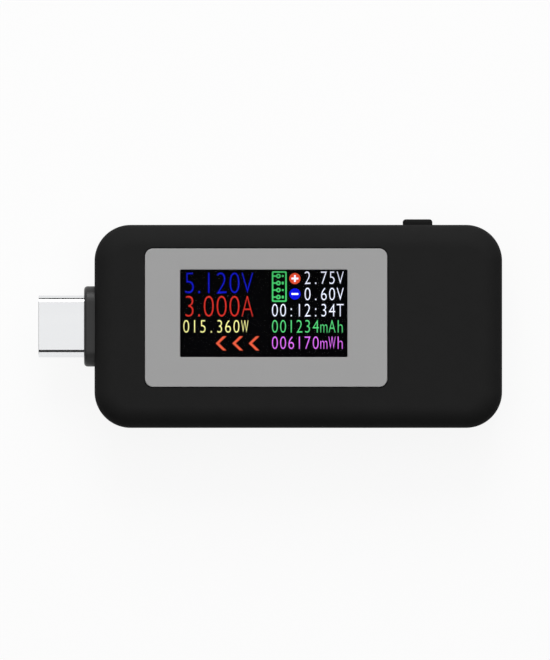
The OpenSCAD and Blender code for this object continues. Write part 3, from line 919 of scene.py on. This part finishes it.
    def build_rear(self) -> None:
        """Models the rear cover: the lip and snaps that hold the front one, posts and pins."""
        cover = self.half("rear_cover_moulded", Half.REAR)
        combine(cover, self.slab(self.wall - self.lip_thickness, PARTING - self.root,
                                 PARTING + self.lip_height), Join.ADD)
        combine(cover, self.snaps((0.0, 0.0, 0.0)), Join.ADD)
        combine(cover, self.form("cut", self.wall))
        self.cut_ends(cover)
        combine(cover, BUTTON.flange_notch())
        floor = self.low.z + self.wall - self.root
        combine(cover, self.at_posts(self.post_radius, floor, BOARD_BOTTOM), Join.ADD)
        combine(cover, self.at_posts(self.pin_radius, floor, BOARD_TOP + self.pin_height),
                Join.ADD)
        soften(cover, self.broken_edge)
        place(cover, CASE_ABS, "housing", "case_plastic", "rear_cover")


@dataclass
class Collar:
    """The moulded collar round the plug, with a flange that holds it inside the case."""

    width: float = 10.7 * MM
    corner: float = 2.2 * MM
    corner_flats: int = 12
    outer_edge: float = 0.45 * MM
    outer_edge_flats: int = 5
    hole_flats: int = 14
    shell_gap: float = 0.02 * MM
    flange_thickness: float = 0.8 * MM
    flange_height: float = 6.3 * MM
    root: float = 0.1 * MM
    broken_edge: float = 0.08 * MM

    def build(self) -> None:
        """Models the collar, its inner flange and the hole for the plug."""
        low, high = corners("plug_collar")
        middle = (high.z + low.z) / 2
        step = high.x - self.flange_thickness
        collar = rounded_block(
            "plug_collar_moulded", (low.x, -self.width / 2, low.z),
            (step + self.root, self.width / 2, high.z), self.corner, Along.X,
            segments=self.corner_flats,
        )
        round_edges(collar, lies_at(Along.X, low.x), self.outer_edge, self.outer_edge_flats)
        combine(collar, rounded_block(
            "flange", (step, low.y, middle - self.flange_height / 2),
            (high.x, high.y, middle + self.flange_height / 2), self.corner, Along.X,
            segments=self.corner_flats,
        ), Join.ADD)
        wide, tall = PLUG.width / 2 + self.shell_gap, PLUG.height / 2 + self.shell_gap
        combine(collar, rounded_block(
            "cut", (low.x - MM, -wide, middle - tall), (high.x + MM, wide, middle + tall),
            tall * NEARLY, Along.X, segments=self.hole_flats,
        ))
        soften(collar, self.broken_edge)
        place(collar, COLLAR_TPE, "housing", "collar_plastic", "plug_collar")


@dataclass
class MetalShell:
    """A drawn metal tube with fully round sides, and the tabs that hold it to the board."""

    name: str
    node: str
    width: float
    height: float
    sheet: float
    sheet_top: float
    lip: float
    broken_edge: float = 0.03 * MM
    round_flats: int = 16
    lip_flats: int = 3

    def ends(self) -> tuple[float, float, float]:
        """Gives where the tube starts and ends along the case, and which of them is its mouth."""
        raise NotImplementedError

    def tabs(self) -> list[Piece]:
        """Gives the solids that hold the tube to the board."""
        raise NotImplementedError

    def build(self) -> None:
        """Models the tube from a rounded block, hollows it, rolls its mouth and adds the tabs."""
        start, end, mouth = self.ends()
        wide, tall = self.width / 2, self.height / 2
        tube = rounded_block(self.name, (start, -wide, PARTING - tall), (end, wide, PARTING + tall),
                             tall * NEARLY, Along.X, segments=self.round_flats)
        inner = tall - self.sheet_top
        combine(tube, rounded_block(
            "cut", (start - MM, -wide + self.sheet, PARTING - inner),
            (end + MM, wide - self.sheet, PARTING + inner), inner * NEARLY, Along.X,
            segments=self.round_flats,
        ))
        round_edges(tube, lies_at(Along.X, mouth), self.lip, self.lip_flats)
        for tab in self.tabs():
            combine(tube, tab, Join.ADD)
        soften(tube, self.broken_edge)
        place(tube, NICKEL, "housing", "steel_shell", self.node)


@dataclass
class PlugShell(MetalShell):
    """The plug's shell, with an ear at each side of its rear end."""

    ear: tuple[float, float] = (0.26 * MM, 0.9 * MM)
    ear_inset: float = 0.225 * MM
    behind_collar: float = 0.3 * MM
    ear_root: float = 0.25 * MM

    def ends(self) -> tuple[float, float, float]:
        """Gives the tip, the end inside the collar, and the tip again: the mouth."""
        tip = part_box(self.node)[0][0]
        return tip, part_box("plug_collar")[1][0] - self.behind_collar, tip

    def tabs(self) -> list[Piece]:
        """Models the two ears that reach back to the board's edge.

        Returns:
            The two ears.
        """
        thick, tall = self.ear
        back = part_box(self.node)[1][0]
        front = self.ends()[1] - self.ear_root
        made = []
        for side in (-1, 1):
            y = side * (self.width / 2 - self.ear_inset)
            made.append(block("ear", (front, y - thick / 2, PARTING - tall / 2),
                              (back, y + thick / 2, PARTING + tall / 2)))
        return made


@dataclass
class SocketShell(MetalShell):
    """The socket's shell, with two legs down each side that go through the board."""

    leg_places: tuple[float, float] = (1.1 * MM, 3.4 * MM)
    leg_length: float = 1.1 * MM
    wing_root: float = 0.32 * MM
    leg_below_board: float = 0.4 * MM
    weld: float = 0.01 * MM

    def ends(self) -> tuple[float, float, float]:
        """Gives the end inside the case, the end in its wall, and that one again: the mouth."""
        low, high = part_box(self.node)
        return low[0], high[0], high[0]

    def tabs(self) -> list[Piece]:
        """Models the legs: a wing out to the side on the board, and a leg down through it.

        Returns:
            Each leg's wing and leg.
        """
        low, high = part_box(self.node)
        bottom = BOARD_BOTTOM - self.leg_below_board
        made = []
        for at in self.leg_places:
            first = low[0] + at - self.leg_length / 2
            last = first + self.leg_length
            for side in (-1, 1):
                near, far = side * (self.width / 2 - self.wing_root), side * high[1]
                leg = side * (high[1] - self.sheet)
                made.append(block("wing", (first, min(near, far), BOARD_TOP),
                                  (last, max(near, far), BOARD_TOP + self.sheet)))
                made.append(block("leg", (first, min(leg, far), bottom),
                                  (last, max(leg, far), BOARD_TOP + self.weld)))
        return made


@dataclass
class Button:
    """The side button's cap."""

    width: float = 3.94 * MM
    height: float = 2.4 * MM
    corner: float = 0.4 * MM
    corner_flats: int = 6
    side_corner: float = 0.45 * MM
    side_flats: int = 5
    flange_thickness: float = 0.6 * MM
    flange_below: float = 0.7 * MM
    flange_room: float = 0.3 * MM
    broken_edge: float = 0.06 * MM
    notch_reach: float = 4.0 * MM
    root: float = 0.5 * MM

    def middle(self) -> Vector:
        """Gives the cap's centre, from the switch plunger behind it."""
        low, high = corners("switch_plunger")
        return (low + high) / 2

    def notch(self, clearance: float) -> Piece:
        """Models the cutter for the cap's opening in the front cover.

        Args:
            clearance: The gap round the cap.

        Returns:
            The cutter.
        """
        centre = self.middle()
        _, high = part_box("button_cap")
        half = self.width / 2 + clearance
        return rounded_block(
            "cut", (centre.x - half, high[1] - self.notch_reach, PARTING - MM),
            (centre.x + half, high[1] + MM, centre.z + self.height / 2 + clearance),
            self.side_corner + clearance, Along.Y, segments=self.side_flats,
        )

    def flange_notch(self) -> Piece:
        """Models the cutter that clears the cap's flange out of the rear cover's lip.

        Returns:
            The cutter.
        """
        low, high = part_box("button_cap")
        return block("cut", (low[0] - self.flange_room, high[1] - self.notch_reach, PARTING),
                     (high[0] + self.flange_room, high[1] + MM, high[2]))

    def build(self) -> None:
        """Models the cap's head with soft corners, and its flange."""
        low, high = corners("button_cap")
        centre = self.middle()
        flange_face = low.y + self.flange_thickness
        cap = rounded_block(
            "button_cap_moulded",
            (centre.x - self.width / 2, flange_face - self.root, centre.z - self.height / 2),
            (centre.x + self.width / 2, high.y, centre.z + self.height / 2), self.side_corner,
            Along.Y, segments=self.side_flats,
        )
        round_edges(cap, lies_at(Along.Y, high.y), self.corner, self.corner_flats)
        combine(cap, block("flange", (low.x, low.y, centre.z - self.flange_below),
                           (high.x, flange_face, high.z)), Join.ADD)
        soften(cap, self.broken_edge)
        place(cap, CAP_ABS, "button", "button_plastic", "button_cap")


@dataclass(frozen=True)
class Lettering:
    """The size of a line's figures, in steps of the display's grid."""

    cell: float
    tall: float
    wide: float
    weight: float
    point_share: float = 1.0


LARGE = Lettering(12.6, 20.5, 9.8, -0.02, point_share=0.5)
SMALL = Lettering(8.0, 12.5, 5.8, -0.012)
SPACED = Lettering(8.2, 12.5, 5.8, -0.012)


@dataclass(frozen=True)
class Row:
    """One line of lit figures: its text, its place on the display's grid and its colour."""

    name: str
    text: str
    left: float
    top: float
    style: Lettering
    colour: str
    second: str


@dataclass
class Readout:
    """The lit figures, drawn just above the display's film on its grid of 160 by 80."""

    columns: int = 160
    rows: int = 80
    margin: Corner = (0.5 * MM, 0.7 * MM, 0.0)
    lift: float = 0.02 * MM
    layer: float = 0.02 * MM
    thickness: float = 0.008 * MM
    spacing: float = 1.2
    curve_steps: int = 4
    font_same_point: float = 1e-3
    tile_corner: float = 0.3
    tile_flats: int = 8
    lines: tuple[Row, ...] = (
        Row("readout_volts", "5.120V", 2.0, 3.0, LARGE, "#0f16b4", "#0d13a6"),
        Row("readout_amps", "3.000A", 2.0, 26.0, LARGE, "#ba2b22", "#ac261e"),
        Row("readout_watts", "015.360W", 1.0, 49.5, SPACED, "#e2de92", "#d8d484"),
        Row("readout_data_plus", "2.75V", 120.0, 1.6, SMALL, "#dcdfee", "#d2d6e8"),
        Row("readout_data_minus", "0.60V", 120.0, 17.6, SMALL, "#dcdfee", "#d2d6e8"),
        Row("readout_time", "00:12:34T", 88.0, 33.6, SMALL, "#dcdfee", "#d2d6e8"),
        Row("readout_charge", "001234mAh", 88.0, 49.5, SMALL, "#50c272", "#48b668"),
        Row("readout_energy", "006170mWh", 88.0, 65.6, SMALL, "#c868dc", "#bc5cd0"),
    )
    arrow_lefts: tuple[float, ...] = (34.0, 50.3, 66.3)
    arrow: Corner = (3.4, 7.0, 14.0)
    arrow_top: float = 65.4
    arrow_corner: float = 0.1
    list_box: tuple[float, float, float, float] = (89.0, 1.4, 103.6, 31.6)
    list_line: float = 1.5
    list_rows: int = 4
    list_pitch: float = 6.9
    list_ring: Corner = (2.3, 0.9, 0.7)
    ring_column: float = 95.4
    list_dot: tuple[float, tuple[float, float]] = (1.1, (1.0, 1.5))
    dot_column: float = 99.7
    sign_column: float = 111.6
    sign_rows: tuple[float, float] = (8.6, 23.8)
    sign: tuple[float, float] = (3.4, 0.9)
    disc_radius: float = 5.5

    def __post_init__(self) -> None:
        """Finds the lit area from the film on the display."""
        low, high = corners("display_polarizer")
        inset = Vector(self.margin)
        self.low, self.high = low + inset, high - inset
        self.step_x = (self.high.x - self.low.x) / self.columns
        self.step_y = (self.high.y - self.low.y) / self.rows
        self.level = high.z + self.lift
        self.drawn: dict[tuple[str, Lettering], Piece] = {}

    def at(self, column: float, row: float, above: int = 0) -> Vector:
        """Turns a place on the grid, from its top left, into metres.

        Args:
            column: Steps from the left.
            row: Steps from the top.
            above: How many layers up it lies.

        Returns:
            The point.
        """
        return Vector((self.low.x + column * self.step_x, self.high.y - row * self.step_y,
                       self.level + above * self.layer))

    def letter(self, sign: str, weight: float) -> Piece:
        """Models one letter as a thin solid, as the font draws it.

        Args:
            sign: The letter.
            weight: How much its strokes are thickened, or thinned if less than nought.

        Returns:
            The letter, at the origin.
        """
        bpy.ops.object.text_add(location=(0, 0, 0))
        made = bpy.context.object
        made.data.body = sign
        made.data.resolution_u = self.curve_steps
        made.data.offset = weight
        bpy.ops.object.convert(target="MESH")
        made = bpy.context.object
        edit_all(made)
        bpy.ops.mesh.remove_doubles(threshold=self.font_same_point)
        bpy.ops.mesh.dissolve_degenerate(threshold=self.font_same_point)
        bpy.ops.mesh.extrude_region_move(TRANSFORM_OT_translate={"value": (0, 0, self.thickness)})
        bpy.ops.mesh.select_all(action="SELECT")
        close_outwards()
        return made

    def figure(self, sign: str, style: Lettering) -> Piece:
        """Fits a letter to its cell, once for each letter and size.

        Args:
            sign: The letter.
            style: The size of the line's figures.

        Returns:
            The letter, with the middle of its foot at the origin, for copying.
        """
        if (sign, style) in self.drawn:
            return self.drawn[sign, style]
        model = self.letter("0", style.weight)
        scale_x = style.wide * self.step_x / model.dimensions.x
        scale_y = style.tall * self.step_y / model.dimensions.y
        bpy.data.objects.remove(model)
        made = self.letter(sign, style.weight)
        xs = [point.co.x for point in made.data.vertices]
        widest = (style.cell - self.spacing) * self.step_x
        fitted = min(scale_x, widest / (max(xs) - min(xs)))
        made.scale = (fitted, scale_y, 1.0)
        made.location = (-(max(xs) + min(xs)) / 2 * fitted, 0.0, 0.0)
        settle(made)
        clean(made)
        self.drawn[sign, style] = made
        return made

    def write(self, row: Row) -> None:
        """Draws one line of figures, each in its own cell.

        Args:
            row: The line to draw.
        """
        made = []
        column = row.left
        for sign in row.text:
            cell = row.style.cell * (row.style.point_share if sign == "." else 1.0)
            spot = self.at(column + cell / 2, row.top + row.style.tall)
            made.append(copy_to(self.figure(sign, row.style), spot))
            column += cell
        self.show(gather(row.name, made), row.colour, row.second)

    def show(self, piece: Piece, colour: str, second: str) -> None:
        """Lights a finished piece of the readout.

        Args:
            piece: The piece.
            colour: Its tone.
            second: The tone that it drifts to.
        """
        finish = LitFinish("lit_" + piece.name, colour, second)
        place(piece, finish, "housing", "polarizer_film")

    def tile(
        self, left: float, top: float, right: float, bottom: float, radius: float,
        above: int = 0, through: bool = False,
    ) -> Piece:
        """Models a thin tile with round corners on the grid, or the cutter for a hole in one.

        Args:
            left: Its left side, in steps.
            top: Its top, in steps.
            right: Its right side, in steps.
            bottom: Its bottom, in steps.
            radius: Its corner radius, in steps.
            above: How many layers up it lies.
            through: Whether it is a cutter, which goes right through a tile.

        Returns:
            The tile.
        """
        low, high = self.at(left, bottom, above), self.at(right, top, above)
        if through:
            low.z -= self.layer
        high.z += self.layer if through else self.thickness
        return rounded_block("tile", low, high, radius * self.step_y, segments=self.tile_flats)

    def disc(self, column: float, row: float, radius: float, through: bool = False) -> Piece:
        """Models a thin disc about a place on the grid, or the cutter for a round hole."""
        return self.tile(column - radius, row - radius, column + radius, row + radius,
                         radius * NEARLY, through=through)

    def bar(self, column: float, row: float, wide: float, tall: float) -> Piece:
        """Models a bar about a place on the grid, one layer up. Its sizes are halves."""
        return self.tile(column - wide, row - tall, column + wide, row + tall,
                         self.tile_corner, above=1)

    def build_arrows(self) -> None:
        """Draws the three arrowheads that show which way the current flows."""
        thick, reach, tall = self.arrow
        left, bottom = self.arrow_lefts[0], self.arrow_top + tall
        first = self.tile(left + reach, self.arrow_top, left + reach + thick, bottom,
                          self.arrow_corner)
        middle = self.at(left, self.arrow_top + tall / 2)
        edit_points(first, lambda point: True)
        bpy.ops.mesh.bisect(plane_co=middle, plane_no=(0, 1, 0))
        edit_points(first, lambda point: abs(point.y - middle.y) < IN_PLANE)
        bpy.ops.transform.translate(value=(-reach * self.step_x, 0, 0))
        bpy.ops.object.mode_set(mode="OBJECT")
        drawn = spread("readout_arrows", first, (
            Vector(((other - left) * self.step_x, 0, 0)) for other in self.arrow_lefts
        ))
        self.show(drawn, "#c85238", "#bb4830")

    def build_list(self) -> None:
        """Draws the framed list symbol: four rings tied to its left side, and a dot by each."""
        left, top, right, bottom = self.list_box
        line = self.list_line
        drawn = self.tile(left, top, right, bottom, line)
        combine(drawn, self.tile(left + line, top + line, right - line, bottom - line, line / 2,
                                 through=True))
        outer, hole, tie = self.list_ring
        wide, talls = self.list_dot
        dots = []
        for i in range(self.list_rows):
            row = (top + bottom) / 2 + (i - (self.list_rows - 1) / 2) * self.list_pitch
            low = self.at(left + line / 2, row + tie)
            high = self.at(self.ring_column - hole - tie, row - tie)
            high.z += self.thickness
            combine(drawn, block("tie", low, high), Join.ADD)
            ring = self.disc(self.ring_column, row, outer)
            combine(ring, self.disc(self.ring_column, row, hole, through=True))
            combine(drawn, ring, Join.ADD)
            tall = talls[i % 2]
            dots.append(self.tile(self.dot_column - wide, row - tall, self.dot_column + wide,
                                  row + tall, min(wide, tall) * NEARLY))
        clean(drawn)
        self.show(gather("readout_frame", [drawn, *dots]), "#44ba66", "#38a858")

    def build_signs(self) -> None:
        """Draws the plus and the minus, each on a disc of its own colour."""
        column = self.sign_column
        half, thick = self.sign
        upper, lower = self.sign_rows
        discs = (("plus", upper, "#cf4a2e", "#c44026"), ("minus", lower, "#0a12cc", "#0a10be"))
        for name, row, colour, second in discs:
            disc = gather("readout_disc_" + name, [self.disc(column, row, self.disc_radius)])
            self.show(disc, colour, second)
        plus = self.bar(column, upper, half, thick)
        combine(plus, self.bar(column, upper, thick, half), Join.ADD)
        clean(plus)
        minus = self.bar(column, lower, half, thick)
        self.show(gather("readout_signs", [plus, minus]), "#f2f4ff", "#e8ecff")

    def build(self) -> None:
        """Draws the whole readout."""
        for row in self.lines:
            self.write(row)
        for model in self.drawn.values():
            bpy.data.objects.remove(model)
        self.build_arrows()
        self.build_list()
        self.build_signs()


@dataclass(frozen=True)
class Softbox:
    """A square soft light that faces the object."""

    name: str
    spot: Corner
    size: float
    power: float
    lights_matt: bool = True

    def hang(self) -> None:
        """Hangs the light. One that doesn't light matt surfaces only shows in polished ones."""
        lamp = bpy.data.lights.new(self.name, "AREA")
        lamp.size = self.size
        lamp.energy = self.power
        hung = bpy.data.objects.new(self.name, lamp)
        hung.location = self.spot
        hung.rotation_euler = (-Vector(self.spot)).to_track_quat("-Z", "Y").to_euler()
        hung.visible_diffuse = self.lights_matt
        bpy.context.scene.collection.objects.link(hung)


@dataclass
class Studio:
    """A pale floor, soft light from above and the button's side, and a camera above the display."""

    aim: tuple[float, float] = (-3.1 * MM, -0.48 * MM)
    camera_height: float = 2.0
    sight: float = 20.0
    view_height: float = 87.9 * MM
    sensor: float = 36.0
    floor_size: float = 6.0
    floor_gap: float = 0.02 * MM
    fill: float = 0.03
    backdrop: float = 0.95
    lights: tuple[Softbox, ...] = (
        Softbox("overhead", (0.0, 0.22, 0.5), 1.0, 3.1),
        Softbox("far_side", (0.0, 0.75, 0.55), 0.5, 3.4),
        Softbox("near_card", (0.0, -0.658, 0.239), 0.51, 0.78, lights_matt=False),
    )

    def floor(self) -> None:
        """Lays the floor just under the object. It doesn't throw its glow on matt surfaces."""
        bpy.ops.mesh.primitive_plane_add(size=self.floor_size, location=(0, 0, -self.floor_gap))
        floor = bpy.context.object
        floor.name = "floor"
        floor.visible_diffuse = False
        dress(floor, FLOOR_CARD)

    def sky(self) -> None:
        """Fills the room with a dim even light, and gives the view a pale backdrop."""
        world = bpy.data.worlds.new("room")
        world.use_nodes = True
        tree = world.node_tree
        tree.nodes.clear()
        seen = add_node(tree, "ShaderNodeLightPath").outputs["Is Camera Ray"]
        dim = add_node(tree, "ShaderNodeBackground", {"Color": WHITE, "Strength": self.fill})
        pale = add_node(tree, "ShaderNodeBackground", {"Color": WHITE, "Strength": self.backdrop})
        both = add_node(tree, "ShaderNodeMixShader", None,
                        {0: seen, 1: dim.outputs[0], 2: pale.outputs[0]})
        add_node(tree, "ShaderNodeOutputWorld", None, {"Surface": both.outputs[0]})
        bpy.context.scene.world = world

    def camera(self) -> None:
        """Sets a long lens straight above the display, with the button's side at the top."""
        lens = bpy.data.cameras.new("camera")
        lens.sensor_width = self.sensor
        lens.lens = self.sensor * (self.camera_height - PARTING) / self.view_height
        lens.clip_end = self.sight
        eye = bpy.data.objects.new("camera", lens)
        eye.location = (*self.aim, self.camera_height)
        bpy.context.scene.collection.objects.link(eye)
        bpy.context.scene.camera = eye

    def build(self) -> None:
        """Builds the studio."""
        self.floor()
        for light in self.lights:
            light.hang()
        self.sky()
        self.camera()
        bpy.context.scene.view_settings.view_transform = "Standard"


PLUG = PlugShell("plug_shell_drawn", "plug_shell", 8.25 * MM, 2.4 * MM, 0.3 * MM, 0.3 * MM,
                 0.1 * MM)
SOCKET = SocketShell("socket_shell_drawn", "socket_shell", 8.94 * MM, 3.26 * MM, 0.3 * MM,
                     0.35 * MM, 0.09 * MM)
COLLAR = Collar()
BUTTON = Button()


def dress_inner_nodes() -> None:
    """Gives every CAD node that stays its finish."""
    for finish, nodes in INNER_FINISHES.items():
        for name in nodes:
            dress(frame["nodes"][name], finish)
            LOG.info("%s: %s", name, finish.name)


def main() -> None:
    """Builds the meter and the studio round it."""
    logging.basicConfig(level=logging.INFO, format="%(name)s: %(message)s")
    Studio().build()
    case = Case()
    case.build_front()
    case.build_rear()
    case.opening.build()
    COLLAR.build()
    PLUG.build()
    SOCKET.build()
    BUTTON.build()
    Readout().build()
    dress_inner_nodes()


if __name__ == "__main__":
    main()
